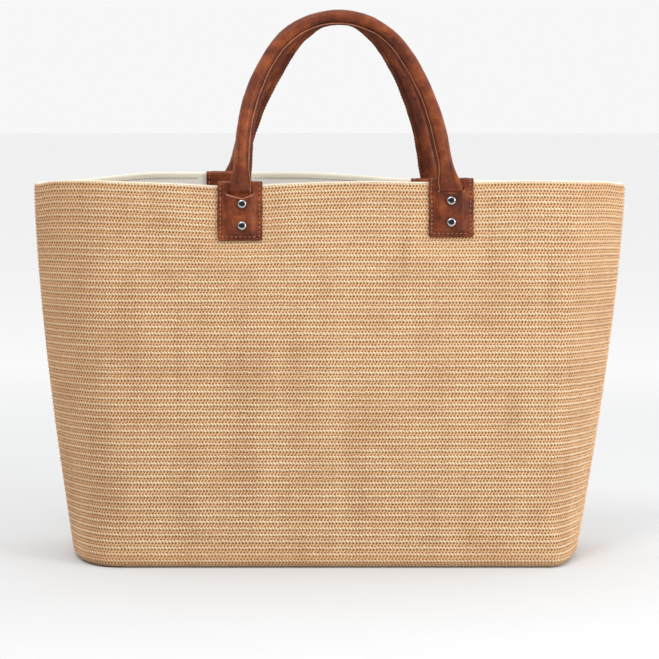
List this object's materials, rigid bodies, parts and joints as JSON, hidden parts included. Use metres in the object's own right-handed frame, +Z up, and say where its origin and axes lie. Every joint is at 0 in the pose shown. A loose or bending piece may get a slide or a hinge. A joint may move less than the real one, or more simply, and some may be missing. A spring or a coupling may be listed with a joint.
{
  "type": "beach bag",
  "caption": "Straw tote bag with a flat base, cloth lining and two rolled leather handles riveted through folded patches on the rim.",
  "frame": {"origin": "middle of the bottom, on the ground", "axes": "+Z up, front faces -Y, +X to the right of someone looking at the front"},
  "size_m": [0.564, 0.1636, 0.5194],
  "materials": {
    "straw": "knitted paper straw, matt with a slight sheen",
    "lining": "plain woven cloth, matt",
    "board": "stiff base board",
    "leather": "smooth brown leather, glazed",
    "nickel": "polished nickel",
    "cord": "twisted cotton cord"
  },
  "bodies": {
    "bag": {"front_panel": "straw", "back_panel": "straw", "base_panel": "straw", "base_board": "board", "lining_front": "lining", "lining_back": "lining", "lining_base": "lining", "patch_front_left": "leather", "patch_front_right": "leather", "patch_back_left": "leather", "patch_back_right": "leather", "tongue_front_left": "leather", "tongue_front_right": "leather", "tongue_back_left": "leather", "tongue_back_right": "leather", "rivets_front_left": "nickel", "rivets_front_right": "nickel", "rivets_back_left": "nickel", "rivets_back_right": "nickel", "rivet_backs_front_left": "nickel", "rivet_backs_front_right": "nickel", "rivet_backs_back_left": "nickel", "rivet_backs_back_right": "nickel"},
    "front_handle": {"front_handle_wrap": "leather", "front_handle_core": "cord"},
    "back_handle": {"back_handle_wrap": "leather", "back_handle_core": "cord"}
  },
  "joints": [
    {"name": "front_handle_swing", "type": "hinge", "parent": "bag", "child": "front_handle", "pos_m": [0.015, -0.0422, 0.35137], "axis": [1, 0, 0], "range_deg": [0, 130]},
    {"name": "back_handle_swing", "type": "hinge", "parent": "bag", "child": "back_handle", "pos_m": [0.001, 0.0422, 0.35137], "axis": [-1, 0, 0], "range_deg": [0, 130]}
  ]
}
